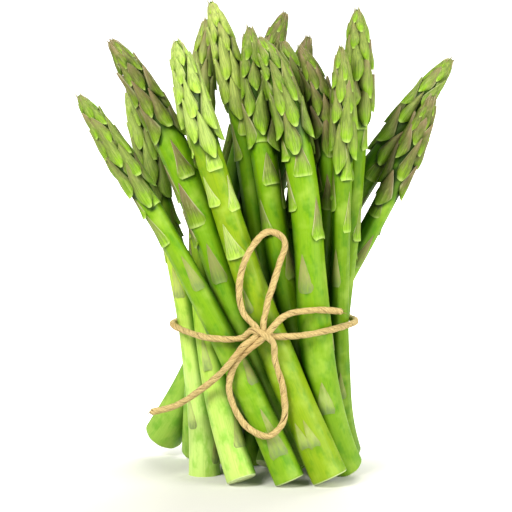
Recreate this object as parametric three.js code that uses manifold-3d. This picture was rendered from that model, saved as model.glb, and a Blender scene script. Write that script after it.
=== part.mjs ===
// A bundle of green asparagus, tied with twine, that stands upright on its cut ends.
// Millimetres, +Z up, seen from the front along +Y. A spear grew in one piece with its scales, so each
// spear is one solid, and the twine with its band, knot, bow and tails is another.
import * as THREE from "three";
import { ConvexGeometry } from "three/addons/geometries/ConvexGeometry.js";
import { mergeVertices } from "three/addons/utils/BufferGeometryUtils.js";
import Module from "manifold-3d";

const wasm = await Module();
wasm.setup();

const bandHeight = 63; // the middle of the twine round the waist
const middle = [0, 6.1]; // the middle of the bundle's box, in the places of the rows below
const stemSides = 7;
const stemRings = 7;
const headRings = 4;
const headLength = 45; // the scaly tip of a spear
const headSwell = 1.04; // its core, against the neck below it
const press = 0.3; // how far a leaning foot is worn flat on the ground
const spacing = 0.55; // kept between two spears
const samples = 60; // places along a spear where its neighbours are felt
const settleRounds = 90;
const settlePace = 1.5;
const sideways = 0.35; // a spear gives way less across the front than in depth

const scale = {
  proud: 1.15, // how far its lower edge stands off the stem
  least: 0.4, // with a lower edge below this it is left off
  thinnest: 0.1, // and with any point below this
  room: 0.4, // kept free between the scales of two spears
  root: 0.15, // its root lies in the core, at this share of the radius
  headHalfTurn: 1.02, // half its width round the stem, in radians
  stemHalfTurn: 0.87,
  stemLength: 12.5,
  tipLength: 4.5, // the one nearest to the tip
  lengthGrowth: 0.24, // longer by this for each millimetre down the head
  headPoint: 0.55, // how far its point stands off, as a share of its lower edge
  stemPoint: 0.4,
  headStart: 4.5, // the first one's foot, measured down from the tip
  headGap: 2.3, // from the first to the second
  headGrowth: 1.11, // each gap against the one above it
  turn: 2.4, // from one to the next round the stem
  bareFoot: 12, // none this near to the cut end
  pastHead: 4, // the close ones go on this far below the head
};
// A scale's outline: share of its length, share of its half width, and how far it stands off.
const scaleOutline = [[0, 0, 1], [0.28, 0.85, 0.5], [0.28, -0.85, 0.5]];
const pointReach = 0.98; // where its point is, as a share of its length

const twine = { radius: 1.5, sides: 8, samples: 360 };
const knot = { at: [-1.5, -37.4, 64.6], half: [6, 2.9, 4.4] };

// The one length of twine: the left tail from its end, the knot, the loop up, the knot, the band round
// the waist from right to left, the wrap over the knot, the loop down, the knot and the right tail.
const twineRoute = [
  [-48.5, -22.5, 29], [-37.8, -26.5, 32.6], [-26.3, -32.3, 41.1], [-17.2, -37.6, 50.1], [-9.7, -38.6, 59.6],
  [-3.5, -37.5, 65.5],
  [-9.7, -34.9, 73.8], [-11.1, -34, 85.1], [-7.1, -33.6, 98.7], [0.8, -31.3, 106.9], [7.6, -29.3, 102.8],
  [4.6, -30.3, 90.2], [0.4, -34.8, 76.3],
  [-0.5, -36.2, 65.2],
  [12, -34.5, 63.5], [24.6, -31.1, 65], [36.1, -14.1, 65.3], [37.5, -4.5, 64.8], [35.8, 6, 64.4],
  [28.6, 15.6, 64.1], [14.8, 21.4, 64], [-4, 24.4, 64], [-22, 22.7, 64],
  [-38.3, -3, 64.2], [-38.3, -11.4, 63.8], [-22.9, -33.3, 62.4], [-10, -35.7, 62.9],
  [-6, -38.3, 66.5], [2.5, -39, 62],
  [3.8, -37.5, 53.4], [7.1, -38.4, 41.6], [7.1, -39.4, 28.2], [0.8, -41.5, 22.4], [-8.8, -38, 26.7],
  [-15.3, -35.9, 40.5], [-12.6, -36.4, 52.4],
  [-1, -38.5, 63.5],
  [8, -35.2, 72.2], [19.7, -33.4, 74.2], [31.9, -27.5, 72.7],
];
// Where each stretch of the route begins and ends in the list above, and its steps.
const twineStretches = [[0, 5, 10], [5, 13, 18], [13, 27, 26], [27, 36, 17], [36, 39, 7]];

// Each spear has its foot on the ground, its place at the band, its neck and its tip, its radius at the
// foot and the neck, and the scales on the front of its stem by height and by the way they face:
// 0 is to the front and 90 to the right.
const rows = [
  {
    name: "spear_front_left",
    foot: [10, -29], waist: [-19, -17], neck: [-46, -14, 112], tip: [-78, -10, 162],
    radius: [6.3, 4.2], start: 0.4, scales: [[118, -80], [115, 75], [101, -38], [81, 18], [36, 45]],
  },
  {
    name: "spear_upper_left", foot: [15, -9], waist: [-10, -12], neck: [-34, -6, 128], tip: [-65, 0, 184],
    radius: [5.6, 4.9], lift: 4, start: 1.9, scales: [[133, 60], [108, -60], [79, -15]],
  },
  {
    name: "spear_front_thick",
    foot: [27, -27], waist: [2, -19], neck: [-21, -18, 128], tip: [-37, -20, 186],
    radius: [7.7, 5.6], start: 3.1,
    scales: [[132, 20], [119, -42], [116, 75], [97, -20], [73, -40], [16, -10]],
  },
  {
    name: "spear_pale_tip", foot: [-10, -28], waist: [-24.5, -10], neck: [-28, 4, 128], tip: [-25, 15, 191],
    radius: [6.4, 4], start: 0.9, scales: [[126, 60], [100, -40], [40, -30], [16, 45]],
  },
  {
    name: "spear_tall", foot: [14, 8], waist: [1, -1], neck: [-8, 1, 135], tip: [-23, 0, 200],
    radius: [5, 4.4], start: 5.2, scales: [[144, 20], [134, -60], [112, 50], [88, -30]],
  },
  {
    name: "spear_level_foot", foot: [-26, -3], waist: [-30, 2], neck: [-43, 5, 112], tip: [-58, 10, 161],
    radius: [6.5, 4], level: true, start: 2.2, scales: [[110, -70], [98, 40], [75, -30]],
  },
  {
    name: "spear_centre", foot: [22, 8], waist: [12, -3], neck: [0, -6, 128], tip: [-7, -5, 190],
    radius: [5.4, 4.6], start: 4.1, scales: [[142, -5], [124, 20], [104, -50], [84, 40]],
  },
  {
    name: "spear_front_right", foot: [32, 2], waist: [19, -13], neck: [14.5, -16, 135], tip: [-3, -15, 187],
    radius: [6.6, 5.2], start: 0.2,
    scales: [[136, -75], [129, 10], [115, -75], [102, 50], [81, -25], [30, 0]],
  },
  {
    name: "spear_back_left", foot: [-31, 33], waist: [-24, 12], neck: [-10, 14, 130], tip: [8, 22, 193],
    radius: [5.2, 4.2], start: 2.9, scales: [[128, 30]],
  },
  {
    name: "spear_back_splayed", foot: [-44, 42], waist: [-18, 17], neck: [3, 17, 128], tip: [18, 20, 183],
    radius: [6.8, 4.2], lift: 4, start: 1.2, scales: [[126, -30]],
  },
  {
    name: "spear_brown_tip", foot: [22, 17], waist: [23, 1], neck: [27, -3, 135], tip: [14, -8, 182],
    radius: [5, 4.2], start: 3.6, scales: [[131, 60], [114, -10], [90, -50]],
  },
  {
    name: "spear_right_tall", foot: [20, 30], waist: [28.5, 8], neck: [37.5, 1, 135], tip: [38, -2, 197],
    radius: [4.9, 4.1], start: 5.6, scales: [[147, 25], [138, 70], [125, -40], [100, 60]],
  },
  {
    name: "spear_right_front", foot: [36, 32], waist: [30, -3], neck: [32, -12, 130], tip: [31, -15, 183],
    radius: [4.6, 3.8], start: 4.8, scales: [[127, 25], [114, -75], [105, 45], [82, -25], [33, 0]],
  },
  {
    name: "spear_right_outer", foot: [-3, 32], waist: [13, 17], neck: [40.5, 15, 120], tip: [78, 15, 174],
    radius: [5.2, 4.7], lift: 2, start: 0.6, scales: [[124, 20], [104, 50]],
  },
  {
    name: "spear_right_low", foot: [1, 5], waist: [23.5, 11], neck: [48, 7, 111], tip: [70, 5, 160],
    radius: [5, 4.4], start: 2.5, scales: [[109, -25], [88, 28]],
  },
  {
    name: "spear_inner", foot: [-5, 20], waist: [8, 9], neck: [15, 5, 135], tip: [7, 5, 183],
    radius: [4.9, 4.3], start: 1.5, scales: [[129, 30], [105, -40]],
  },
  {
    name: "spear_back_short", foot: [-14, 38], waist: [-5, 19], neck: [-3, 24, 105], tip: [6, 33, 150],
    radius: [5.2, 4.3], start: 3.3, scales: [],
  },
  {
    name: "spear_back_middle", foot: [-20, 22], waist: [-11, 7], neck: [-14, 14, 105], tip: [-9, 26, 152],
    radius: [5, 4.2], start: 5, scales: [],
  },
];

const freshGreen = new THREE.Color(0x8cb82c);
const deepGreen = new THREE.Color(0x5c8f1c);
const strawTan = new THREE.Color(0xdcb878);

function smooth(share) {
  const s = THREE.MathUtils.clamp(share, 0, 1);
  return s * s * (3 - 2 * s);
}

// The weights of the four places that a spear goes through, at a share of its way.
function weights(share, stops) {
  return stops.map((own, i) =>
    stops.reduce((w, other, j) => (i === j ? w : (w * (share - other)) / (own - other)), 1),
  );
}

// How far along a spear each of its four places is.
function distancesOf(places) {
  const list = [0];
  for (let i = 1; i < places.length; i += 1) list.push(list[i - 1] + places[i].distanceTo(places[i - 1]));
  return list;
}

function pointOf(spear, share) {
  const point = new THREE.Vector3();
  weights(share, spear.stops).forEach((w, i) => point.addScaledVector(spear.places[i], w));
  return point;
}

// The way along a spear, the way to its front and the way to its right.
function frameOf(spear, share) {
  const reach = 0.002;
  const up = pointOf(spear, share + reach).sub(pointOf(spear, share - reach)).normalize();
  const front = new THREE.Vector3(0, -1, 0);
  front.addScaledVector(up, -front.dot(up)).normalize();
  return { up, front, right: up.clone().cross(front) };
}

function facing(frame, angle) {
  return frame.front.clone().multiplyScalar(Math.cos(angle)).addScaledVector(frame.right, Math.sin(angle));
}

// The radius of a spear without its scales: it tapers to the neck, swells in the head and closes.
function radiusOf(spear, share) {
  const [foot, neck] = spear.radius;
  if (share <= spear.headFrom) return foot + (neck - foot) * smooth(share / spear.headFrom);
  const u = (share - spear.headFrom) / (1 - spear.headFrom);
  return neck * (1 + (headSwell - 1) * smooth(u * 4)) * Math.sqrt(Math.max(1 - u ** 1.9, 0.01));
}

function measure(spear) {
  const distances = distancesOf(spear.places);
  spear.length = distances[3];
  spear.stops = distances.map((distance) => distance / spear.length);
  spear.headFrom = 1 - headLength / spear.length;
}

// A leaning foot touches the ground with its rim, and the level one with its whole cut.
function stand(spear) {
  const lean = Math.sqrt(1 - frameOf(spear, 0).up.z ** 2) * spear.radius[0];
  spear.places[0].z = spear.level ? -lean - press : lean - press + (spear.lift ?? 0);
  measure(spear);
}

function sampled(spear) {
  return Array.from({ length: samples }, (_, k) => {
    const share = k / (samples - 1);
    const inHead = smooth((share - spear.headFrom) * 10 + 0.5);
    const radius = radiusOf(spear, share);
    return {
      at: pointOf(spear, share),
      radius,
      reach: radius + inHead * scale.proud * 0.8 + spacing / 2,
      weights: weights(share, spear.stops),
    };
  });
}

// Spears that would share space give way to each other, mostly in depth.
function settle(spears) {
  for (let round = 0; round < settleRounds; round += 1) {
    const lines = spears.map(sampled);
    spears.forEach((spear, i) => {
      const moves = spear.places.map(() => new THREE.Vector3());
      let share = 1e-3;
      lines[i].forEach((own) => {
        lines.forEach((line, j) => {
          if (i === j) return;
          const near = nearest(line, own.at);
          const away = own.at.clone().sub(near.at);
          const short = own.reach + near.reach - away.length();
          if (short <= 0) return;
          away.normalize().multiplyScalar(short / 2).multiply(new THREE.Vector3(sideways, 1, 0));
          own.weights.forEach((w, a) => {
            moves[a].addScaledVector(away, w);
            share += w * w;
          });
        });
      });
      spear.next = spear.places.map((p, a) => p.clone().addScaledVector(moves[a], settlePace / share));
    });
    spears.forEach((spear) => {
      spear.places = spear.next;
      stand(spear);
    });
  }
}

function nearest(line, point) {
  return line.reduce((best, s) =>
    s.at.distanceToSquared(point) < best.at.distanceToSquared(point) ? s : best,
  );
}

function solidOf(geometry) {
  geometry.deleteAttribute("normal");
  geometry.deleteAttribute("uv");
  const merged = mergeVertices(geometry, 1e-5);
  const mesh = new wasm.Mesh({
    numProp: 3,
    vertProperties: new Float32Array(merged.attributes.position.array),
    triVerts: new Uint32Array(merged.index.array),
  });
  return new wasm.Manifold(mesh);
}

function geometryOf(solid) {
  const mesh = solid.getMesh();
  const geometry = new THREE.BufferGeometry();
  geometry.setAttribute("position", new THREE.BufferAttribute(new Float32Array(mesh.vertProperties), 3));
  geometry.setIndex(new THREE.BufferAttribute(new Uint32Array(mesh.triVerts), 1));
  return geometry;
}

// The core of a spear is turned round an upright axis and then laid along the spear.
function coreOf(spear) {
  const shares = [];
  for (let k = 0; k < stemRings; k += 1) shares.push((k / stemRings) * spear.headFrom);
  for (let k = 0; k <= headRings; k += 1) {
    shares.push(spear.headFrom + (1 - spear.headFrom) * Math.sin((k / headRings) * Math.PI * 0.5));
  }
  const profile = shares.map((share) => new THREE.Vector2(radiusOf(spear, share), share));
  profile.unshift(new THREE.Vector2(0, 0));
  profile.push(new THREE.Vector2(0, 1));
  const geometry = new THREE.LatheGeometry(profile, stemSides);
  const { position } = geometry.attributes;
  for (let i = 0; i < position.count; i += 1) {
    const share = position.getY(i);
    const frame = frameOf(spear, share);
    const point = pointOf(spear, share)
      .addScaledVector(frame.right, position.getX(i))
      .addScaledVector(frame.front, position.getZ(i));
    position.setXYZ(i, point.x, point.y, point.z);
  }
  return solidOf(geometry);
}

// How far a scale may stand off here: it takes less than half of the room to the next spear.
function roomAt(spear, others, share, angle) {
  const outward = facing(frameOf(spear, share), angle).multiplyScalar(radiusOf(spear, share));
  const skin = pointOf(spear, share).add(outward);
  return others.reduce((room, line) => {
    const near = nearest(line, skin);
    return Math.min(room, (near.at.distanceTo(skin) - near.radius - scale.room) / 2);
  }, scale.proud);
}

// A scale is a pointed wedge with its root sunk in the core. Without room it is left off.
function scaleOf(spear, others, { share, angle, length, halfTurn, point }) {
  const edge = [...scaleOutline, [pointReach, 0, point]].map(([along, across, stands]) => {
    const here = Math.min(share + (along * length) / spear.length, 0.995);
    const turned = angle + across * halfTurn;
    const stand = Math.min(scale.proud * stands, roomAt(spear, others, here, turned));
    return { here, turned, stand };
  });
  if (edge[0].stand < scale.least || edge.some((p) => p.stand < scale.thinnest)) return null;
  const points = edge.map(({ here, turned, stand }) => {
    const outward = facing(frameOf(spear, here), turned);
    return pointOf(spear, here).addScaledVector(outward, radiusOf(spear, here) + stand);
  });
  const deep = share + (0.4 * length) / spear.length;
  const inward = facing(frameOf(spear, deep), angle).multiplyScalar(radiusOf(spear, deep) * scale.root);
  points.push(pointOf(spear, deep).add(inward));
  return solidOf(new ConvexGeometry(points));
}

// The scales of the head go down from the tip in a spiral, and the same spiral goes on down the back.
function scalesOf(spear) {
  const onStem = { length: scale.stemLength, halfTurn: scale.stemHalfTurn, point: scale.stemPoint };
  const list = [];
  let down = scale.headStart;
  let gap = scale.headGap;
  let angle = spear.start;
  while (down < spear.length - scale.bareFoot) {
    const share = 1 - down / spear.length;
    if (down < headLength + scale.pastHead) {
      const length = Math.min(scale.tipLength + down * scale.lengthGrowth, scale.stemLength);
      list.push({ share, angle, length, halfTurn: scale.headHalfTurn, point: scale.headPoint });
    } else if (Math.cos(angle) < -0.1) {
      list.push({ share, angle, ...onStem });
    }
    down += gap;
    gap *= scale.headGrowth;
    angle += scale.turn;
  }
  spear.scales.forEach(([height, degrees]) => {
    list.push({ share: shareAt(spear, height), angle: THREE.MathUtils.degToRad(degrees), ...onStem });
  });
  return list;
}

// How far along a spear a height is.
function shareAt(spear, height) {
  let low = 0;
  let high = 1;
  for (let step = 0; step < 30; step += 1) {
    const half = (low + high) / 2;
    if (pointOf(spear, half).z < height) low = half;
    else high = half;
  }
  return low;
}

// What would reach below the ground is cut off.
const ground = solidOf(new THREE.BoxGeometry(400, 400, 40).translate(0, 0, -20));

function spearSolid(spear, others) {
  let solid = coreOf(spear);
  scalesOf(spear).forEach((place) => {
    const wedge = scaleOf(spear, others, place);
    if (wedge) solid = solid.add(wedge);
  });
  return solid.subtract(ground);
}

const spears = rows.map((row) => {
  const places = [[...row.foot, 0], [...row.waist, bandHeight], row.neck, row.tip].map(
    ([x, y, z]) => new THREE.Vector3(x - middle[0], y - middle[1], z),
  );
  const spear = { ...row, places };
  measure(spear);
  stand(spear);
  return spear;
});
settle(spears);

const twinePoints = twineRoute.map((p) => new THREE.Vector3(...p));
const twineCurve = new THREE.CatmullRomCurve3(twinePoints, false, "centripetal");

// A part of the route, from one of its listed points to another.
class Stretch extends THREE.Curve {
  constructor(from, to) {
    super();
    this.from = from / (twineRoute.length - 1);
    this.to = to / (twineRoute.length - 1);
  }

  getPoint(share, target) {
    return twineCurve.getPoint(THREE.MathUtils.lerp(this.from, this.to, share), target);
  }
}

function twineSolid() {
  const corners = Array.from({ length: twine.sides }, (_, k) => {
    const angle = ((k + 0.5) / twine.sides) * Math.PI * 2;
    return new THREE.Vector2(Math.cos(angle) * twine.radius, Math.sin(angle) * twine.radius);
  });
  const section = new THREE.Shape(corners);
  const lump = new THREE.SphereGeometry(1, 8, 6).scale(...knot.half).translate(...knot.at);
  return twineStretches.reduce((solid, [from, to, steps]) => {
    const options = { steps, bevelEnabled: false, extrudePath: new Stretch(from, to) };
    return solid.add(solidOf(new THREE.ExtrudeGeometry(section, options)));
  }, solidOf(lump));
}

const bundle = new THREE.Group();
const lines = spears.map(sampled);
const twineLine = twineCurve.getPoints(twine.samples).map((at) => ({ at, radius: twine.radius }));
spears.forEach((spear, i) => {
  const others = [...lines.filter((_, j) => j !== i), twineLine];
  const material = new THREE.MeshStandardMaterial({
    color: freshGreen.clone().lerp(deepGreen, (i % 5) / 5),
    roughness: 0.5,
    metalness: 0,
  });
  const mesh = new THREE.Mesh(geometryOf(spearSolid(spear, others)), material);
  mesh.name = spear.name;
  bundle.add(mesh);
});


const tie = new THREE.Mesh(
  geometryOf(twineSolid()),
  new THREE.MeshStandardMaterial({ color: strawTan, roughness: 0.85, metalness: 0 }),
);
tie.name = "twine";
bundle.add(tie);

export default bundle;
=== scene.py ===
import math

import bpy
import numpy as np
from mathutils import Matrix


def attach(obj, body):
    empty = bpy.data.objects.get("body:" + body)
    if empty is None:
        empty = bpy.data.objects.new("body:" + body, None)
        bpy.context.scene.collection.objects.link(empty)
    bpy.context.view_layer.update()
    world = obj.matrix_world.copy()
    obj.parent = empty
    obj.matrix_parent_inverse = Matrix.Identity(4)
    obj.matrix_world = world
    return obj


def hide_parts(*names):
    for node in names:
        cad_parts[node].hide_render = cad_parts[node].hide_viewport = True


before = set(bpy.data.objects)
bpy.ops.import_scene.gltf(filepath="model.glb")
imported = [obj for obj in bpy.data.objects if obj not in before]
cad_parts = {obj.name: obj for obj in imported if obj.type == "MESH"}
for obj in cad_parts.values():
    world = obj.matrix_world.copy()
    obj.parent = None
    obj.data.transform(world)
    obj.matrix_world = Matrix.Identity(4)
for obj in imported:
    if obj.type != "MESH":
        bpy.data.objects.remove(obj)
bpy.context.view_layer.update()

# A bundle of green asparagus tied with twine. Sizes below are in millimetres, the scene is in metres.
mm = 0.001
rng = np.random.default_rng(41)


def deselectAll():
    if bpy.context.object and bpy.context.object.mode != "OBJECT":
        bpy.ops.object.mode_set(mode="OBJECT")
    bpy.ops.object.select_all(action="DESELECT")


# Studio

studio = {
    "elevation": 9, "target": (-4.2, -6.1, 92.7), "distance": 2400, "frameWidth": 215, "sensor": 36,
    "clipEnd": 100, "skyLight": 0.36, "skyTint": (1.0, 0.99, 0.95), "backdrop": 1.02,
    # Each light by its name, place, size, watts and tint
    "lights": [
        ("keyLight", (-650, -850, 950), 640, 21.5, (1, 0.975, 0.9)),
        ("fillLight", (950, -600, 450), 1000, 12, (1, 0.99, 0.95)),
        ("rimLight", (250, 900, 900), 800, 13, (1, 0.99, 0.95)),
    ],
}
# Away from a painted pool of shade at the feet the floor glows, for the camera alone. The pool is in
# metres.
floorPaper = {
    "size": 9000, "colour": (0.69, 0.69, 0.66), "roughness": 0.9, "gloss": 0.1,
    "pool": (-0.02, -0.06, 0), "poolEnds": 0.06, "glowFull": 0.19, "glow": 1.1,
}


def addCamera():
    tilt = math.radians(studio["elevation"])
    x, y, z = studio["target"]
    far = studio["distance"]
    at = (x * mm, (y - far * math.cos(tilt)) * mm, (z + far * math.sin(tilt)) * mm)
    bpy.ops.object.camera_add(location=at, rotation=(math.pi / 2 - tilt, 0, 0))
    camera = bpy.context.object
    camera.name = "camera"
    camera.data.sensor_width = studio["sensor"]
    camera.data.lens = studio["sensor"] * far / studio["frameWidth"]
    camera.data.clip_end = studio["clipEnd"]
    bpy.context.scene.camera = camera


def seenByCamera(tree, other, seen):
    path = addNode(tree, "ShaderNodeLightPath")
    mix = addNode(tree, "ShaderNodeMixShader")
    tree.links.new(path.outputs["Is Camera Ray"], mix.inputs[0])
    tree.links.new(other, mix.inputs[1])
    tree.links.new(seen, mix.inputs[2])
    return mix.outputs[0]


def addLights():
    x, y, z = studio["target"]
    for name, (lx, ly, lz), size, watts, tint in studio["lights"]:
        tilt = math.atan2(math.hypot(lx - x, ly - y), lz - z)
        turn = (tilt, 0, math.atan2(ly - y, lx - x) + math.pi / 2)
        bpy.ops.object.light_add(type="AREA", location=(lx * mm, ly * mm, lz * mm), rotation=turn)
        lamp = bpy.context.object
        lamp.name = name
        lamp.data.shape = "DISK"
        lamp.data.size = size * mm
        lamp.data.energy = watts
        lamp.data.color = tint
    world = bpy.data.worlds.new("sky")
    bpy.context.scene.world = world
    world.use_nodes = True
    tree = world.node_tree
    sky = tree.nodes["Background"]
    sky.inputs["Color"].default_value = (*studio["skyTint"], 1)
    sky.inputs["Strength"].default_value = studio["skyLight"]
    backdrop = addNode(tree, "ShaderNodeBackground")
    backdrop.inputs["Color"].default_value = (1, 1, 1, 1)
    backdrop.inputs["Strength"].default_value = studio["backdrop"]
    seen = seenByCamera(tree, sky.outputs[0], backdrop.outputs[0])
    tree.links.new(seen, tree.nodes["World Output"].inputs[0])
    bpy.context.scene.view_settings.view_transform = "Standard"
    print("camera and lights in place")


def addFloor():
    deselectAll()
    bpy.ops.mesh.primitive_plane_add(size=floorPaper["size"] * mm)
    floor = bpy.context.object
    floor.name = "floor"
    paper = bpy.data.materials.new("paleFloor")
    paper.use_nodes = True
    tree = paper.node_tree
    shader = tree.nodes["Principled BSDF"]
    shader.inputs["Base Color"].default_value = (*floorPaper["colour"], 1)
    shader.inputs["Roughness"].default_value = floorPaper["roughness"]
    shader.inputs["Specular IOR Level"].default_value = floorPaper["gloss"]
    place = addNode(tree, "ShaderNodeTexCoord").outputs["Object"]
    away = addNode(tree, "ShaderNodeVectorMath", operation="DISTANCE")
    tree.links.new(place, away.inputs[0])
    away.inputs[1].default_value = floorPaper["pool"]
    # Painted shadow: the floor's glow for the camera fades out in a pool round the feet
    far = ramp(tree, away.outputs["Value"], floorPaper["poolEnds"], floorPaper["glowFull"])
    glow = addNode(tree, "ShaderNodeEmission")
    tree.links.new(maths(tree, "MULTIPLY", far, floorPaper["glow"]), glow.inputs["Strength"])
    lit = addNode(tree, "ShaderNodeAddShader")
    tree.links.new(shader.outputs[0], lit.inputs[0])
    tree.links.new(glow.outputs[0], lit.inputs[1])
    seen = seenByCamera(tree, shader.outputs[0], lit.outputs[0])
    tree.links.new(seen, tree.nodes["Material Output"].inputs["Surface"])
    floor.data.materials.append(paper)


# The lines of the spears

bundle = {
    "bandHeight": 63, "middle": (0, 6.1), "headLength": 45, "headSwell": 1.04, "swellSoon": 4,
    "tipRound": 1.9, "tipLeast": 0.01, "nudge": 0.002, "fineSteps": 2001,
    # How the spears make room for each other
    "press": 0.3, "spacing": 0.55, "samples": 60, "rounds": 90, "pace": 1.5, "sideways": 0.35,
    "felt": 0.92, "feltSoon": 10, "steady": 1e-3,
}

# Each line is given by a foot, a waist at the twine, a neck and a tip, and "radius" is at the foot and
# at the neck. "scales" are scales in known places: height, degrees to the right, and size.
spears = {
    "spear_front_left": {
        "foot": (10, -29), "waist": (-19, -17), "neck": (-46, -14, 112), "tip": (-78, -10, 162),
        "radius": (6.3, 4.2), "start": 0.4, "finish": "fresh",
        "scales": [(113, -75), (115, 45), (101, -38), (81, 18), (41, 45), (12, 8, 1.6)]},
    "spear_upper_left": {
        "foot": (15, -9), "waist": (-10, -12), "neck": (-34, -6, 128), "tip": (-65, 0, 184),
        "radius": (5.6, 4.9), "lift": 4, "stout": 1.4, "start": 1.9, "finish": "brown",
        "scales": [(127, 12), (119, -85), (108, -35, 1.3), (100, -90), (84, -15)]},
    "spear_front_thick": {
        "foot": (27, -27), "waist": (2, -19), "neck": (-21, -18, 128), "tip": (-37, -20, 186),
        "radius": (7.7, 5.6), "start": 3.1, "finish": "pale",
        "scales": [
            (132, 15), (118, -48), (114, 50), (96, -20), (74, -38, 0.5), (17, -30, 0.8), (16, 2, 0.6)]},
    "spear_pale_tip": {
        "foot": (-10, -28), "waist": (-24.5, -10), "neck": (-28, 4, 128), "tip": (-25, 15, 191),
        "radius": (6.4, 4), "start": 0.9, "finish": "faded",
        "scales": [(126, 60), (113, -80), (100, -40), (90, -85), (46, -25), (14, 42, 1.3)]},
    "spear_tall": {
        "foot": (14, 8), "waist": (1, -1), "neck": (-8, 1, 135), "tip": (-23, 0, 200),
        "radius": (5, 4.4), "start": 5.2, "finish": "light",
        "scales": [(144, 20), (134, -60), (112, 50), (88, -30)]},
    "spear_level_foot": {
        "foot": (-26, -3), "waist": (-30, 2), "neck": (-43, 5, 112), "tip": (-58, 10, 161),
        "radius": (6.5, 4), "level": True, "start": 2.2, "finish": "straw",
        "scales": [(110, -70), (98, 40), (104, 85), (90, 80), (75, -30), (21, -45), (6, 50)]},
    "spear_centre": {
        "foot": (22, 8), "waist": (12, -3), "neck": (0, -6, 128), "tip": (-7, -5, 190),
        "radius": (5.4, 4.6), "stout": 0.8, "start": 4.1, "finish": "fresh",
        "scales": [(142, -5), (124, 20), (113, 85), (104, -50), (84, 40)]},
    "spear_front_right": {
        "foot": (32, 2), "waist": (19, -13), "neck": (14.5, -16, 135), "tip": (-3, -15, 187),
        "radius": (6.6, 5.2), "stout": 0.9, "start": 0.2, "finish": "fresh",
        "scales": [(136, -75), (129, 10), (115, -75), (102, 50), (81, -25), (30, 0)]},
    "spear_back_left": {
        "foot": (-31, 33), "waist": (-24, 12), "neck": (-10, 14, 130), "tip": (8, 22, 193),
        "radius": (5.2, 4.2), "start": 2.9, "finish": "brown", "scales": [(128, 30)]},
    "spear_back_splayed": {
        "foot": (-44, 42), "waist": (-18, 17), "neck": (3, 17, 128), "tip": (18, 20, 183),
        "radius": (6.8, 4.2), "lift": 4, "stout": 1.5, "start": 1.2, "finish": "brown",
        "scales": [(126, -30), (120, 80), (112, 85)]},
    "spear_brown_tip": {
        "foot": (22, 17), "waist": (23, 1), "neck": (27, -3, 135), "tip": (14, -8, 182),
        "radius": (5, 4.2), "stout": 1.3, "start": 3.6, "finish": "brown",
        "scales": [(131, 60), (121, -80), (114, -10), (106, -85), (90, -50)]},
    "spear_right_tall": {
        "foot": (20, 30), "waist": (28.5, 8), "neck": (37.5, 1, 135), "tip": (38, -2, 197),
        "radius": (4.9, 4.1), "full": 1.7, "start": 5.6, "finish": "deep",
        "scales": [(147, 25), (138, 70), (125, -40), (100, 60)]},
    "spear_right_front": {
        "foot": (36, 32), "waist": (30, -3), "neck": (32, -12, 130), "tip": (31, -15, 183),
        "radius": (4.6, 3.8), "start": 4.8, "finish": "deep",
        "scales": [(127, 25), (114, -75), (105, 45), (82, -25), (33, 0)]},
    "spear_right_outer": {
        "foot": (-3, 32), "waist": (13, 17), "neck": (40.5, 15, 120), "tip": (78, 15, 174),
        "radius": (5.2, 4.7), "lift": 2, "start": 0.6, "finish": "fresh",
        "scales": [(124, 20), (104, 50)]},
    "spear_right_low": {
        "foot": (1, 5), "waist": (23.5, 11), "neck": (48, 7, 111), "tip": (70, 5, 160),
        "radius": (5, 4.4), "start": 2.5, "finish": "brown", "scales": [(109, -25), (88, 28)]},
    "spear_inner": {
        "foot": (-5, 20), "waist": (8, 9), "neck": (15, 5, 135), "tip": (7, 5, 183),
        "radius": (4.9, 4.3), "stout": 1.7, "start": 1.5, "finish": "fresh",
        "scales": [(129, 30), (121, -80), (110, -85), (105, -40), (98, -80)]},
    "spear_back_short": {
        "foot": (-14, 38), "waist": (-5, 19), "neck": (-3, 24, 105), "tip": (6, 33, 150),
        "radius": (5.2, 4.3), "full": 1.5, "start": 3.3, "finish": "fresh", "scales": []},
    "spear_back_middle": {
        "foot": (-20, 22), "waist": (-11, 7), "neck": (-14, 14, 105), "tip": (-9, 26, 152),
        "radius": (5, 4.2), "start": 5, "finish": "straw", "scales": []},
}


# A share is a place along a spear, from 0 at its foot to 1 at its tip.

def smooth(value):
    value = np.clip(value, 0, 1)
    return value * value * (3 - 2 * value)


def weightsOf(share, stops):
    share = np.asarray(share, float)
    columns = []
    for i, own in enumerate(stops):
        weight = np.ones_like(share)
        for j, other in enumerate(stops):
            if i != j:
                weight = weight * (share - other) / (own - other)
        columns.append(weight)
    return np.stack(columns, -1)


def measure(spear):
    steps = np.linalg.norm(np.diff(spear["places"], axis=0), axis=1)
    distances = np.concatenate([[0], np.cumsum(steps)])
    spear["length"] = distances[-1]
    spear["stops"] = distances / distances[-1]
    spear["headFrom"] = 1 - bundle["headLength"] / distances[-1]


def pointOf(spear, share):
    return weightsOf(share, spear["stops"]) @ spear["places"]


def frameOf(spear, share):
    share = np.asarray(share, float)
    up = pointOf(spear, share + bundle["nudge"]) - pointOf(spear, share - bundle["nudge"])
    up /= np.linalg.norm(up, axis=-1, keepdims=True)
    front = np.array([0.0, -1.0, 0.0]) - up * -up[..., 1:2]
    front /= np.linalg.norm(front, axis=-1, keepdims=True)
    return up, front, np.cross(up, front)


# The way out of a spear at an angle from its front
def outwardOf(spear, share, angle):
    up, front, right = frameOf(spear, share)
    return front * np.cos(angle)[..., None] + right * np.sin(angle)[..., None]


def grownOf(reach, angle, along):
    return np.stack([reach * np.sin(angle), -reach * np.cos(angle), along], -1)


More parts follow.
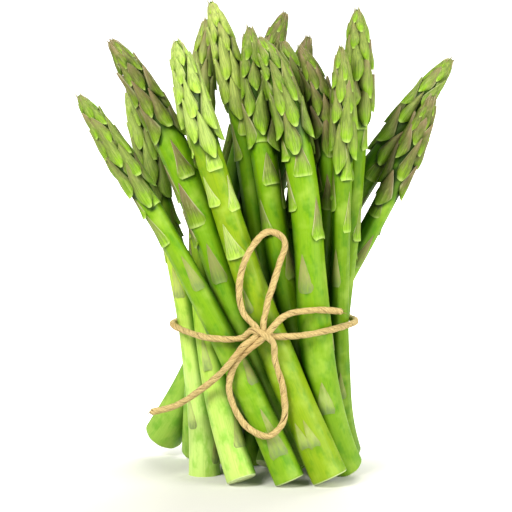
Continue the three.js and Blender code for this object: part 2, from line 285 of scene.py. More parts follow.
def radiusOf(spear, share):
    foot, neck = spear["radius"]
    headFrom = spear["headFrom"]
    below = foot + (neck - foot) * smooth(share / headFrom)
    u = np.clip((share - headFrom) / (1 - headFrom), 0, 1)
    swell = 1 + (bundle["headSwell"] - 1) * smooth(u * bundle["swellSoon"])
    above = neck * swell * np.sqrt(np.maximum(1 - u ** bundle["tipRound"], bundle["tipLeast"]))
    return np.where(share <= headFrom, below, above)


def shareAt(spear, height):
    shares = np.linspace(0, 1, bundle["fineSteps"])
    return float(np.interp(height, pointOf(spear, shares)[:, 2], shares))


def stand(spear):
    up = frameOf(spear, 0.0)[0]
    lean = math.sqrt(1 - up[2] ** 2) * spear["radius"][0]
    level = -lean - bundle["press"]
    onEdge = lean - bundle["press"] + spear.get("lift", 0)
    spear["places"][0, 2] = level if spear.get("level") else onEdge
    measure(spear)


def reachOf(spear, shares):
    inHead = smooth((shares - spear["headFrom"]) * bundle["feltSoon"] + 0.5)
    return radiusOf(spear, shares) + inHead * bundle["felt"] + bundle["spacing"] / 2


# Moves the spears apart until they only touch. The solids were laid in the same way.
def settle():
    rows = list(spears.values())
    count = len(rows)
    shares = np.linspace(0, 1, bundle["samples"])
    give = np.array([bundle["sideways"], 1, 0])
    for _ in range(bundle["rounds"]):
        points = np.stack([pointOf(s, shares) for s in rows])
        weights = np.stack([weightsOf(shares, s["stops"]) for s in rows])
        reach = np.stack([reachOf(s, shares) for s in rows])
        moves = np.zeros((count, 4, 3))
        for i in range(count):
            total = bundle["steady"]
            for j in range(count):
                if i == j:
                    continue
                apart = points[i][:, None] - points[j][None]
                square = (apart**2).sum(-1)
                near = square.argmin(1)
                away = points[i] - points[j][near]
                distance = np.linalg.norm(away, axis=1)
                short = reach[i] + reach[j][near] - distance
                hit = short > 0
                if not hit.any():
                    continue
                push = away[hit] / distance[hit, None] * (short[hit, None] / 2) * give
                moves[i] += weights[i][hit].T @ push
                total += (weights[i][hit] ** 2).sum()
            moves[i] *= bundle["pace"] / total
        for spear, move in zip(rows, moves):
            spear["places"] = spear["places"] + move
            stand(spear)


def layOut():
    for spear in spears.values():
        waist = (*spear["waist"], bundle["bandHeight"])
        places = [(*spear["foot"], 0), waist, spear["neck"], spear["tip"]]
        spear["places"] = np.array(places, float)
        spear["places"][:, :2] -= bundle["middle"]
        measure(spear)
        stand(spear)
    settle()
    print("lines of the spears laid out")


# Meshes

def addAttribute(mesh, name, values):
    values = np.asarray(values, float)
    kind = "FLOAT" if values.ndim == 1 else "FLOAT_VECTOR"
    layer = mesh.attributes.new(name, kind, "POINT")
    layer.data.foreach_set("value" if values.ndim == 1 else "vector", values.reshape(-1))


def editAll():
    bpy.ops.object.mode_set(mode="EDIT")
    bpy.ops.mesh.select_all(action="SELECT")


def newObject(name, mesh):
    piece = bpy.data.objects.new(name, mesh)
    bpy.context.collection.objects.link(piece)
    return piece


def dress(piece, finish, angle):
    deselectAll()
    piece.select_set(True)
    bpy.context.view_layer.objects.active = piece
    bpy.ops.object.shade_smooth_by_angle(angle=math.radians(angle))
    piece.data.materials.clear()
    piece.data.materials.append(finish)


def shifted(faces, base):
    return [tuple(base + i for i in face) for face in faces]


def draw(span):
    return rng.uniform(*span)


# Twine. Each wave is given by its size, its pace per millimetre and its start.

twine = {
    "radius": 1.5, "full": 1.38, "around": 24, "step": 0.75, "between": 40, "coarse": 9,
    "smoothAngle": 50,
    "bends": 0.22, "bendsFrom": 5, "bendWaves": [(1, 0.33, 0), (1, 0.71, 2)],
    "twist": 12.5, "twistWaves": [(0.5, 0.11, 0), (0.3, 0.29, 0)],
    "uneven": 0.07, "unevenWaves": [(1 / 1.6, 0.23, 1), (0.6 / 1.6, 0.61, 0)],
    # The grooves between the strands. Their depth wavers, and the twine is opened in two places.
    "groove": 0.42, "grooveWidth": 0.26, "grooveLeast": 0.8, "grooveMore": 0.5, "groovePace": 0.83,
    "grooveWaves": [(1.7, 0.37, 0)], "grooveTurn": 0.4,
    "openAt": [(4.6, -37.8, 49), (6.9, -39.2, 31)], "openLong": 4.5, "openDeep": 1.7,
    "endLong": 0.8, "endFull": 0.45, "endShade": 0.7,
    "frays": 8, "frayLong": (0.8, 2.2), "frayWide": 0.28, "fraySpread": 0.3, "frayRoot": 1.2,
    "frayLoose": 0.4, "fraySide": (0.3, 0.2, 1),
    "route": [
        (-48.5, -22.5, 29), (-37.8, -26.5, 32.6), (-26.3, -32.3, 41.1), (-17.2, -37.6, 50.1),
        (-9.7, -38.6, 59.6), (-3.5, -37.5, 65.5), (-9.7, -34.9, 73.8), (-11.1, -34, 85.1),
        (-7.1, -33.6, 98.7), (0.8, -31.3, 106.9), (7.6, -29.3, 102.8), (4.6, -30.3, 90.2),
        (0.4, -34.8, 76.3), (-0.5, -36.2, 65.2), (12, -34.5, 63.5), (24.6, -31.1, 65),
        (36.1, -14.1, 65.3), (37.5, -4.5, 64.8), (35.8, 6, 64.4), (28.6, 15.6, 64.1),
        (14.8, 21.4, 64), (-4, 24.4, 64), (-22, 22.7, 64), (-38.3, -3, 64.2), (-38.3, -11.4, 63.8),
        (-22.9, -33.3, 62.4), (-10, -35.7, 62.9), (-6, -38.3, 66.5), (2.5, -39, 62),
        (3.8, -37.5, 53.4), (7.1, -38.4, 41.6), (7.1, -39.4, 28.2), (0.8, -41.5, 22.4),
        (-8.8, -38, 26.7), (-15.3, -35.9, 40.5), (-12.6, -36.4, 52.4), (-1, -38.5, 63.5),
        (8, -35.2, 72.2), (19.7, -33.4, 74.2), (31.9, -27.5, 72.7),
    ],
}


# A smooth line through the points, the same as the solid's
def routeOf(points, steps):
    points = np.array(points, float)
    ends = np.vstack([2 * points[0] - points[1], points, 2 * points[-1] - points[-2]])
    line = []
    for k in range(len(points) - 1):
        p0, p1, p2, p3 = ends[k : k + 4]
        d0, d1, d2 = [math.sqrt(np.linalg.norm(b - a)) for a, b in ((p0, p1), (p1, p2), (p2, p3))]
        t1 = ((p1 - p0) / d0 - (p2 - p0) / (d0 + d1) + (p2 - p1) / d1) * d1
        t2 = ((p2 - p1) / d1 - (p3 - p1) / (d1 + d2) + (p3 - p2) / d2) * d1
        t = np.linspace(0, 1, steps, endpoint=False)[:, None]
        square = 3 * p2 - 3 * p1 - 2 * t1 - t2
        cube = 2 * p1 - 2 * p2 + t1 + t2
        line.append(p1 + t1 * t + square * t**2 + cube * t**3)
    line.append(points[-1:])
    return np.vstack(line)


def evenly(line, step):
    along = np.concatenate([[0], np.cumsum(np.linalg.norm(np.diff(line, axis=0), axis=1))])
    stops = np.linspace(0, along[-1], int(round(along[-1] / step)) + 1)
    return np.stack([np.interp(stops, along, line[:, k]) for k in range(3)], 1), stops


# Two directions across the line at each point, carried along it without a twist
def sideWays(line):
    ways = np.gradient(line, axis=0)
    ways /= np.linalg.norm(ways, axis=1, keepdims=True)
    side = np.cross(ways[0], (0, 0, 1))
    side /= np.linalg.norm(side)
    sides = []
    for way in ways:
        side = side - way * side.dot(way)
        side /= np.linalg.norm(side)
        sides.append(side)
    sides = np.array(sides)
    return sides, np.cross(ways, sides)


def wavy(along, waves):
    return sum(size * np.sin(along * pace + start) for size, pace, start in waves)


def frayEnds(line):
    points = []
    faces = []
    for at, inward in ((line[0], line[4]), (line[-1], line[-5])):
        out = (at - inward) / np.linalg.norm(at - inward)
        for _ in range(twine["frays"]):
            way = out + rng.normal(0, twine["fraySpread"], 3)
            way /= np.linalg.norm(way)
            across = np.cross(way, twine["fraySide"])
            across /= np.linalg.norm(across)
            beyond = np.cross(way, across)
            foot = at - out * twine["frayRoot"] + rng.normal(0, twine["frayLoose"], 3)
            long = draw(twine["frayLong"])
            k = len(points)
            for turn in range(3):
                angle = turn * 2 * math.pi / 3
                sideways = across * math.cos(angle) + beyond * math.sin(angle)
                points.append(foot + twine["frayWide"] * sideways)
            points.append(foot + way * (long + twine["frayRoot"]))
            faces += [(k, k + 1, k + 3), (k + 1, k + 2, k + 3), (k + 2, k, k + 3), (k + 2, k + 1, k)]
    return np.array(points), faces


def makeTwine(finish):
    line, along = evenly(routeOf(twine["route"], twine["between"]), twine["step"])
    side, other = sideWays(line)
    bends = wavy(along, twine["bendWaves"]) / 2 * np.minimum(1, along / twine["bendsFrom"])
    line = line + side * (twine["bends"] * bends)[:, None]
    around = np.linspace(0, 2 * math.pi, twine["around"], endpoint=False)
    spin = 2 * math.pi * along / twine["twist"] + wavy(along, twine["twistWaves"])
    turned = around[None] - spin[:, None]
    groove = np.exp(-((np.cos(turned) / twine["grooveWidth"]) ** 2))
    waver = np.sin(along * twine["groovePace"] + wavy(along, twine["grooveWaves"]))[:, None]
    waver = waver * np.cos(turned / 2 + twine["grooveTurn"]) ** 2
    groove = groove * (twine["grooveLeast"] + twine["grooveMore"] * waver)
    opened = np.zeros(len(along))
    for place in twine["openAt"]:
        nearest = along[np.linalg.norm(line - place, axis=1).argmin()]
        opened += np.exp(-(((along - nearest) / twine["openLong"]) ** 2))
    deep = twine["groove"] * (1 + opened * twine["openDeep"])
    uneven = 1 + twine["uneven"] * wavy(along, twine["unevenWaves"])
    reach = twine["full"] * uneven[:, None] - deep[:, None] * groove
    fromEnd = np.minimum(along, along[-1] - along)
    reach = reach * np.minimum(1, fromEnd / twine["endLong"] + twine["endFull"])[:, None]
    points = (
        line[:, None]
        + side[:, None] * (np.cos(around)[None] * reach)[..., None]
        + other[:, None] * (np.sin(around)[None] * reach)[..., None]
    )
    rings, sides = reach.shape
    count = rings * sides
    verts = np.vstack([points.reshape(-1, 3), line[:1], line[-1:]])
    faces = []
    for k in range(rings - 1):
        for n in range(sides):
            m = (n + 1) % sides
            faces.append((k * sides + n, k * sides + m, (k + 1) * sides + m, (k + 1) * sides + n))
    last = count - sides
    for n in range(sides):
        m = (n + 1) % sides
        faces.append((count, m, n))
        faces.append((count + 1, last + n, last + m))
    frays, frayFaces = frayEnds(line)
    faces.extend(shifted(frayFaces, len(verts)))
    verts = np.vstack([verts, frays]) * mm
    mesh = bpy.data.meshes.new("twistedTwine")
    mesh.from_pydata(verts.tolist(), [], faces)
    piece = newObject("twistedTwine", mesh)
    # How the twine is laid: the place along it, and how far round its strands
    laid = np.zeros((len(verts), 3))
    laid[:count, 0] = np.repeat(along, sides)
    laid[:count, 1] = np.cos(turned).reshape(-1)
    laid[:count, 2] = np.sin(turned).reshape(-1)
    laid[count:, 0] = np.arange(len(verts) - count)
    addAttribute(mesh, "laid", laid)
    # The groove value darkens the twine in its grooves, where it is opened, and at its ends and frays,
    # as painted shade
    inGroove = np.full(len(verts), twine["endShade"])
    inGroove[:count] = (groove * (1 + opened[:, None])).reshape(-1)
    addAttribute(mesh, "groove", inGroove)
    dress(piece, finish, twine["smoothAngle"])
    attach(piece, "root")
    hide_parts("twine")
    print("twine laid,", round(along[-1]), "mm long")


# The room round a spear

nearby = {"steps": 120, "around": 33, "roomMost": 3.0, "clear": 0.4}


# How far the skin may stand out before it meets another piece, and how much the others hide it, which
# later sets the painted shade between the spears
def feelAround(spear, lines):
    shares = np.linspace(0, 1, nearby["steps"])
    angles = np.linspace(-math.pi, math.pi, nearby["around"])
    outward = outwardOf(spear, shares[:, None], angles[None])
    skinAt = pointOf(spear, shares)[:, None] + outward * radiusOf(spear, shares)[:, None, None]
    room = np.full(skinAt.shape[:2], nearby["roomMost"])
    hidden = np.zeros(skinAt.shape[:2])
    for points, radii in lines:
        reach = points[None, None] - skinAt[:, :, None]
        distance = np.linalg.norm(reach, axis=-1)
        room = np.minimum(room, ((distance - radii).min(-1) - nearby["clear"]) / 2)
        facing = np.maximum((reach * outward[:, :, None]).sum(-1) / distance, 0)
        step = np.linalg.norm(points[1] - points[0])
        hidden += (facing * 2 * radii * step / distance**2).sum(-1) / math.pi
    return room, hidden


# Reads a table made over share and angle
def fieldAt(table, share, angle):
    rows = np.clip(share, 0, 1) * (table.shape[0] - 1)
    turned = (angle + math.pi) % (2 * math.pi) / (2 * math.pi) * (table.shape[1] - 1)
    r0 = np.minimum(rows.astype(int), table.shape[0] - 2)
    c0 = np.minimum(turned.astype(int), table.shape[1] - 2)
    fr, fc = rows - r0, turned - c0
    low = table[r0, c0] * (1 - fc) + table[r0, c0 + 1] * fc
    high = table[r0 + 1, c0] * (1 - fc) + table[r0 + 1, c0 + 1] * fc
    return low * (1 - fr) + high * fr


# Painted shade: how much to darken the skin where the other pieces hide it
def paintedShadeOf(hidden, share, angle):
    start, full = stem["shadeFrom"], stem["shadeFull"]
    return smooth((fieldAt(hidden, share, angle) - start) / (full - start))


def stoutOf(spear, room, share, angle):
    bare = smooth((spear["headFrom"] - share) * spear["length"] / stem["stoutFade"] + 0.5)
    return np.clip(fieldAt(room, share, angle), 0, spear.get("stout", 0)) * bare


# Scales. Across a scale u goes from -1 to 1, and v goes from its foot to its tip.

# Pairs are ranges of draws. "long" and "half" are a scale's length and half width.
headScale = {
    "columns": 6, "rows": 7, "start": 1.8, "gap": 1.1, "growth": 1.037, "turn": 2.4, "pastHead": 4,
    "long": 9.5, "longer": 0.25, "longest": 18, "half": 2.4, "wider": 0.045, "widest": 3.9,
    "lip": 0.8, "lipGrowth": 0.04, "lipMost": 2.0, "edge": 0.3, "edgeGrowth": 0.012, "edgeMost": 0.6,
    "point": 0.4, "foot": 0.28, "flareFull": 20, "end": 0.9985, "open": 0.02, "kind": 3.0,
    "longDraw": (0.8, 1.15), "halfDraw": (0.85, 1.12), "lipDraw": (0.8, 1.15), "gapDraw": (0.65, 1.35),
    "angleDraw": (-0.2, 0.2), "curl": (0, 1.3), "lean": (-0.3, 0.3), "flare": (0, 0.7),
    "hang": (0.2, 1.4), "flareOut": (0, 0.9), "straight": (0, 0.45),
}
# The thin scales that stick up at the tip
whisker = {
    "count": 10, "long": 10, "half": 0.7, "lip": 0.6, "edge": 0.6, "point": 0.6, "end": 1.009,
    "open": 0.12, "brown": 0.25, "longDraw": (0.5, 1.15), "pastTip": (-1.6, 1.0),
    "angleDraw": (-0.3, 0.3), "halfDraw": (0.6, 1.2), "curl": (0.2, 2.4), "lean": (-0.5, 0.5),
}
stemScale = {
    "columns": 12, "rows": 14, "start": 4.5, "gap": 2.3, "growth": 1.11, "turn": 2.4, "bareFoot": 12,
    "pastHead": 4, "behind": -0.1, "least": 0.4, "flatBelow": 70, "raisedOver": 35,
    "long": 15.5, "half": 3.6, "usualRadius": 4.6, "lip": 0.5, "lipFlat": 0.4, "lipMore": 0.6,
    "edge": 0.16, "point": 0.35, "brown": 0.12, "flareMore": 0.6, "kind": 4.0, "open": 0.02,
    "longDraw": (0.85, 1.2), "halfDraw": (0.85, 1.15), "curl": (-0.1, 0.1), "lean": (-0.2, 0.2),
    "flare": (0.0, 0.3), "hang": (-0.9, 0.6), "flareOut": (0.1, 1.1), "straight": (0.75, 1.0),
}
# The form of every scale. A straight one has a wide foot, a flared one falls away like a skirt.
form = {
    "foot": 0.36, "footLess": 0.28, "blunt": 0.14, "bluntMore": 0.68, "footRound": 1.05,
    "leafFall": 1.5, "leafLeast": 0.03, "pointFall": 0.95, "pointLess": 0.1, "least": 0.02,
    "skirt": 0.7, "skirtFall": 2.6, "skirtThin": 0.28, "skirtThinFall": 0.8,
    "bulgeAt": 0.22, "bulgeFoot": 0.8, "bulgeMore": 0.2, "domeRound": 1.9, "hangFall": 3,
    "edgeFoot": 0.7, "edgeMore": 0.6, "curlFrom": 0.5, "flareTo": 0.3, "flareFall": 1.5,
    "beyond": 0.6, "aroundMost": 1.3, "closing": 8, "standsLeast": 0.06, "browns": 0.18,
    # The root of a scale lies inside the stem.
    "rootUp": 0.42, "rootMost": 0.985, "rootDeep": 0.15,
}
# How deep the skin lies under the scales round it. The skin is painted darker there, as shade under the
# scales.
crown = {
    "step": 0.5, "columns": 72, "across": 15, "along": 34, "reachAlong": 2, "reachRound": 2,
    "bareRows": 4, "allowed": 0.35, "deep": 1.5,
}


# A square sheet from -1 to 1, whose rim runs down to one root point below it
def makeSheet(scale):
    deselectAll()
    bpy.ops.mesh.primitive_grid_add(
        x_subdivisions=scale["columns"], y_subdivisions=scale["rows"], size=2,
    )
    sheet = bpy.context.object
    editAll()
    bpy.ops.mesh.region_to_loop()
    bpy.ops.mesh.extrude_edges_move(TRANSFORM_OT_translate={"value": (0, 0, -1)})
    bpy.ops.mesh.merge(type="COLLAPSE")
    bpy.ops.mesh.select_all(action="SELECT")
    bpy.ops.mesh.normals_make_consistent(inside=False)
    bpy.ops.object.mode_set(mode="OBJECT")
    points = np.array([v.co for v in sheet.data.vertices])
    faces = [tuple(p.vertices) for p in sheet.data.polygons]
    bpy.ops.object.delete()
    return points, faces


def scaleOutline(v, flare, straight):
    foot = form["foot"] - form["footLess"] * straight
    blunt = form["blunt"] + form["bluntMore"] * straight
    t = np.clip((v - foot) / (1 - foot), 0, 1)
    low = blunt + (1 - blunt) * np.sin(np.clip(v / foot, 0, 1) * math.pi / 2) ** form["footRound"]
    leafy = (1 - t ** form["leafFall"]) * (1 - form["leafLeast"]) + form["leafLeast"]
    fall = form["pointFall"] - form["pointLess"] * straight
    pointed = (1 - t) ** fall * (1 - form["least"]) + form["least"]
    skirted = form["skirt"] * (1 - t) ** form["skirtFall"]
    skirted = skirted + form["skirtThin"] * (1 - t) ** form["skirtThinFall"] + form["least"]
    side = leafy * (1 - straight) + pointed * straight
    return np.where(v < foot, low, side * (1 - flare) + skirted * flare)


# Where the points u, v of scales lie: their share, their angle, and how far they stand out
def shapeOf(spear, room, places, u, v):
    get = {key: np.array([p[key] for p in places])[:, None] for key in places[0]}
    along = v * get["long"] - get["hang"] * (1 - u**2) * (1 - v) ** form["hangFall"]
    here = np.minimum(get["share"] + along / spear["length"], get["end"])
    radius = radiusOf(spear, here)
    top = form["bulgeAt"]
    rising = form["bulgeFoot"] + form["bulgeMore"] * v / top
    falling = 1 - smooth((v - top) / (1 - top)) * (1 - get["point"])
    dome = get["lip"] * np.where(v < top, rising, falling) * (1 - np.abs(u) ** form["domeRound"])
    lift = get["edge"] * (form["edgeFoot"] + form["edgeMore"] * v)
    lift = lift + get["curl"] * smooth((v - form["curlFrom"]) / (1 - form["curlFrom"]))
    lift = lift + get["flareOut"] * np.clip(1 - v / form["flareTo"], 0, 1) ** form["flareFall"]
    half = get["half"] * scaleOutline(v, get["flare"], get["straight"])
    across = u * np.minimum(half / (radius + form["beyond"]), form["aroundMost"])
    turned = get["angle"] + across + get["lean"] * v
    closing = np.sqrt(np.clip((1 - here) * spear["length"] / form["closing"], get["open"], 1))
    stout = stoutOf(spear, room, here, turned)
    stands = np.minimum((dome + lift) * closing, fieldAt(room, here, turned) - stout)
    return get, here, turned, np.maximum(stands, form["standsLeast"]) + stout


def crownOf(spear, room, places):
    rows, columns = int(spear["length"] / crown["step"]) + 1, crown["columns"]
    u, v = np.meshgrid(np.linspace(-1, 1, crown["across"]), np.linspace(0, 1, crown["along"]))
    get, here, turned, stands = shapeOf(spear, room, places, u.reshape(1, -1), v.reshape(1, -1))
    row = np.rint(np.minimum(here, 1) * (rows - 1)).astype(int)
    column = np.rint((turned / (2 * math.pi) + 0.5) % 1 * columns).astype(int) % columns
    top = np.zeros((rows, columns))
    np.maximum.at(top, (row, column), stands)
    for axis, reach in ((0, crown["reachAlong"]), (1, crown["reachRound"])):
        top = np.max([np.roll(top, k, axis) for k in range(-reach, reach + 1)], axis=0)
    for axis in (0, 1):
        top = (np.roll(top, 1, axis) + top + np.roll(top, -1, axis)) / 3
    top[: crown["bareRows"]] = 0
    return np.hstack([top, top[:, :1]])


# Painted shade: how much darker the skin is painted where it lies under the scales round it
def sunkOf(top, share, angle, stands):
    return smooth((fieldAt(top, share, angle) - stands - crown["allowed"]) / crown["deep"])


def placeScales(spear, room, hidden, top, sheet, places):
    points, faces = sheet
    u = points[None, :, 0]
    v = (points[None, :, 1] + 1) / 2
    isRoot = points[None, :, 2] < -0.5
    get, here, turned, stands = shapeOf(spear, room, places, u, v)
    sunk = sunkOf(top, here, turned, stands)
    reach = radiusOf(spear, here) + stands
    rootShare = get["share"] + form["rootUp"] * get["long"] / spear["length"]
    here = np.where(isRoot, np.minimum(rootShare, form["rootMost"]), here)
    reach = np.where(isRoot, radiusOf(spear, here) * form["rootDeep"], reach)
    turned = np.where(isRoot, get["angle"], turned)
    placed = pointOf(spear, here) + outwardOf(spear, here, turned) * reach[..., None]
    grown = grownOf(reach, turned, here * spear["length"])
    leaf = np.stack([u + 0 * here, v + 0 * here, get["tone"] + 0 * here], -1)
    kept = {
        "grown": grown.reshape(-1, 3), "leaf": leaf.reshape(-1, 3),
        "part": (get["part"] + 0 * here).reshape(-1),
        "paintedShade": paintedShadeOf(hidden, here, turned).reshape(-1), "sunk": sunk.reshape(-1),
    }
    allFaces = []
    for k in range(len(places)):
        allFaces.extend(shifted(faces, k * len(points)))
    return placed.reshape(-1, 3), kept, allFaces


def toneOf(finish, more):
    return float(np.clip(rng.normal(finishes[finish]["brown"] + more, form["browns"]), 0, 1))


def headPlaces(spear, finish):
    places = []
    own = headScale
    full = spear.get("full", 1)
    down, gap, angle = own["start"], own["gap"], spear["start"]
    while down < bundle["headLength"] + own["pastHead"]:
        long = min(own["long"] + down * own["longer"], own["longest"])
        long *= draw(own["longDraw"])
        half = min(own["half"] + down * own["wider"], own["widest"])
        lip = min(own["lip"] + down * own["lipGrowth"], own["lipMost"])
        edge = min(own["edge"] + down * own["edgeGrowth"], own["edgeMost"])
        places.append({
            "share": 1 - (down + long * own["foot"]) / spear["length"],
            "angle": angle + draw(own["angleDraw"]), "long": long,
            "half": half * draw(own["halfDraw"]), "lip": lip * draw(own["lipDraw"]) * full,
            "edge": edge, "point": own["point"], "curl": draw(own["curl"]),
            "lean": draw(own["lean"]), "tone": toneOf(finish, 0.0),
            "flare": draw(own["flare"]), "hang": draw(own["hang"]),
            "flareOut": draw(own["flareOut"]) * min(down / own["flareFull"], 1),
            "straight": draw(own["straight"]), "part": own["kind"],
            "end": own["end"], "open": own["open"],
        })
        down += gap * draw(own["gapDraw"])
        gap *= own["growth"]
        angle += own["turn"]
    own = whisker
    for k in range(own["count"]):
        long = own["long"] * draw(own["longDraw"])
        places.append({
            "share": 1 - (long + draw(own["pastTip"])) / spear["length"],
            "angle": angle + k * 2 * math.pi / own["count"] + draw(own["angleDraw"]),
            "long": long, "half": own["half"] * draw(own["halfDraw"]), "lip": own["lip"],
            "edge": own["edge"], "point": own["point"], "curl": draw(own["curl"]),
            "lean": draw(own["lean"]), "tone": toneOf(finish, own["brown"]), "flare": 0.0,
            "hang": 0.0, "flareOut": 0.0, "straight": 0.0, "part": headScale["kind"],
            "end": own["end"], "open": own["open"],
        })
    return places


# The scales below the head: by a rule at the back, and in the spear's own places
def stemPlaces(spear, room):
    places = []
    own = stemScale
    down, gap, angle = own["start"], own["gap"], spear["start"]
    spots = []
    while down < spear["length"] - own["bareFoot"]:
        past = down >= bundle["headLength"] + own["pastHead"]
        if past and math.cos(angle) < own["behind"]:
            spots.append((1 - down / spear["length"], angle, 1))
        down += gap
        gap *= own["growth"]
        angle += own["turn"]
    for height, degrees, *size in spear["scales"]:
        spots.append((shareAt(spear, height), math.radians(degrees), size[0] if size else 1))
    for share, angle, size in spots:
        if fieldAt(room, np.array([share]), np.array([angle]))[0] < own["least"]:
            continue
        above = pointOf(spear, share)[2] - own["flatBelow"]
        raised = float(smooth(above / own["raisedOver"]))
        neck = spear["radius"][1] / own["usualRadius"]
        places.append({
            "share": share, "angle": angle,
            "long": own["long"] * draw(own["longDraw"]) * math.sqrt(size),
            "half": own["half"] * draw(own["halfDraw"]) * neck * size,
            "lip": own["lip"] * (own["lipFlat"] + own["lipMore"] * raised),
            "edge": own["edge"], "point": own["point"], "curl": draw(own["curl"]),
            "lean": draw(own["lean"]), "tone": toneOf(spear["finish"], own["brown"]),
            "flare": draw(own["flare"]) + own["flareMore"] * raised * rng.random(),
            "hang": draw(own["hang"]), "flareOut": draw(own["flareOut"]) * raised,
            "straight": draw(own["straight"]), "part": own["kind"] - raised,
            "end": headScale["end"], "open": own["open"],
        })
    return places


# Spears. The attribute "part" is 0 on a stem, 1 on the rim of its cut, 2 on the cut, 3 on raised
# scales and 4 on flat ones.

stem = {
    "sides": 40, "rings": 130, "headRings": 34, "cutRings": (0, 0.3, 0.6, 0.82, 0.93), "rim": 0.8,
    "rimCorner": 0.3, "ribs": 9, "ribHeight": 0.09, "ribSway": 0.9, "ribPace": 0.035,
    "waver": 0.2, "waverPace": 0.11, "waverTurn": 0.03, "seedMost": 100, "tipFade": 12,
    "headFade": 10, "headBefore": 0.6, "stoutFade": 15, "shadeFrom": 0.4, "shadeFull": 1.8,
    "weld": 1e-7, "smoothAngle": 60,
}


def makeStem(name, spear, room, hidden, top):
    # The rows of the skin from the middle of the cut up to the tip: ratio to the radius, share, part
    rim = stem["rim"] / spear["length"]
    edge = stem["rim"] / spear["radius"][0]
    neck = spear["headFrom"]
    profile = [(ratio, 0.0, 2.0) for ratio in stem["cutRings"]]
    profile += [(1 - edge, 0.0, 2.0), (1 - stem["rimCorner"] * edge, stem["rimCorner"] * rim, 1.0)]
    for k in range(stem["rings"]):
        profile.append((1.0, rim + (neck - rim) * k / stem["rings"], 0.0))
    for k in range(stem["headRings"] + 1):
        climb = math.sin(k / stem["headRings"] * math.pi / 2)
        profile.append((1.0, neck + (1 - neck) * climb, 0.0))
    profile.append((0.0, 1.0, 0.0))
    profile = np.array(profile)
    deselectAll()
    bpy.ops.mesh.primitive_grid_add(
        x_subdivisions=stem["sides"], y_subdivisions=len(profile) - 1, size=2,
    )
    piece = bpy.context.object
    piece.name = name
    mesh = piece.data
    mesh.name = name
    grid = np.empty(len(mesh.vertices) * 3)
    mesh.vertices.foreach_get("co", grid)
    grid = grid.reshape(-1, 3)
    angle = grid[:, 0] * math.pi
    row = np.rint((grid[:, 1] + 1) / 2 * (len(profile) - 1)).astype(int)
    ratio, share, part = profile[row].T
    along = share * spear["length"]
    seed = rng.uniform(0, stem["seedMost"])
    sway = stem["ribSway"] * np.sin(along * stem["ribPace"] + seed)
    ribs = np.cos(stem["ribs"] * angle + sway) * stem["ribHeight"]
    turn = np.cos(2 * angle + along * stem["waverTurn"] + seed)
    waver = np.sin(along * stem["waverPace"] + seed) * turn * stem["waver"]
    fade = ratio * smooth((1 - share) * stem["tipFade"])
    stout = stoutOf(spear, room, share, angle)
    reach = (radiusOf(spear, share) + stout) * ratio + (ribs + waver) * fade
    placed = pointOf(spear, share) + outwardOf(spear, share, angle) * reach[:, None]
    mesh.vertices.foreach_set("co", (placed * mm).reshape(-1))
    addAttribute(mesh, "grown", grownOf(reach, angle, along))
    # Leaf z on the stem marks its head, whose core is painted dark as shade between the scales
    inHead = smooth((share - neck) * spear["length"] / stem["headFade"] + stem["headBefore"])
    addAttribute(mesh, "leaf", np.stack([0 * share, 0 * share, inHead], 1))
    addAttribute(mesh, "part", part)
    # Painted shade where the other spears hide the skin
    addAttribute(mesh, "paintedShade", paintedShadeOf(hidden, share, angle))
    # Painted shade under the scales of the head
    addAttribute(mesh, "sunk", sunkOf(top, share, angle, stout) * (part < 0.5))
    editAll()
    bpy.ops.mesh.remove_doubles(threshold=stem["weld"])
    bpy.ops.object.mode_set(mode="OBJECT")
    return piece


def makeSpear(name, spear, lines, sheets, finish):
    room, hidden = feelAround(spear, lines)
    inHead, onStem = headPlaces(spear, spear["finish"]), stemPlaces(spear, room)
    top = crownOf(spear, room, inHead + onStem)
    piece = makeStem(name.replace("spear", "asparagus"), spear, room, hidden, top)
    verts, faces, kept = [], [], []
    for kind, places in (("head", inHead), ("stem", onStem)):
        if places:
            placed, values, polygons = placeScales(spear, room, hidden, top, sheets[kind], places)
            faces.extend(shifted(polygons, sum(len(v) for v in verts)))
            verts.append(placed)
            kept.append(values)
    mesh = bpy.data.meshes.new("scales")
    mesh.from_pydata((np.vstack(verts) * mm).tolist(), [], faces)
    for key in kept[0]:
        addAttribute(mesh, key, np.concatenate([values[key] for values in kept]))
    scales = newObject("scales", mesh)
    deselectAll()
    scales.select_set(True)
    piece.select_set(True)
    bpy.context.view_layer.objects.active = piece
    bpy.ops.object.join()
    # What would reach below the ground is cut level.
    editAll()
    bpy.ops.mesh.bisect(plane_co=(0, 0, 0), plane_no=(0, 0, 1), use_fill=True, clear_inner=True)
    bpy.ops.object.mode_set(mode="OBJECT")
    dress(piece, finish, stem["smoothAngle"])
    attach(piece, "root")
    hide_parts(name)
    return piece


# Materials

def addNode(tree, kind, **values):
    node = tree.nodes.new(kind)
    for key, value in values.items():
        setattr(node, key, value)
    return node


def setSocket(tree, socket, value):
    if isinstance(value, bpy.types.NodeSocket):
        tree.links.new(value, socket)
    elif isinstance(value, tuple):
        socket.default_value = (*value, 1) if len(value) == 3 and socket.type == "RGBA" else value
    else:
        socket.default_value = value


def mixColour(tree, first, second, share, blend="MIX"):
    node = addNode(tree, "ShaderNodeMix", data_type="RGBA", blend_type=blend)
    for socket, value in ((node.inputs[0], share), (node.inputs[6], first), (node.inputs[7], second)):
        setSocket(tree, socket, value)
    return node.outputs[2]


def maths(tree, operation, *values, clamp=False):
    node = addNode(tree, "ShaderNodeMath", operation=operation, use_clamp=clamp)
    for socket, value in zip(node.inputs, values):
        setSocket(tree, socket, value)
    return node.outputs[0]


def ramp(tree, value, low, high):
    node = addNode(tree, "ShaderNodeMapRange", interpolation_type="SMOOTHSTEP")
    for socket, entry in zip(node.inputs, (value, low, high, 0.0, 1.0)):
        setSocket(tree, socket, entry)
    return node.outputs[0]


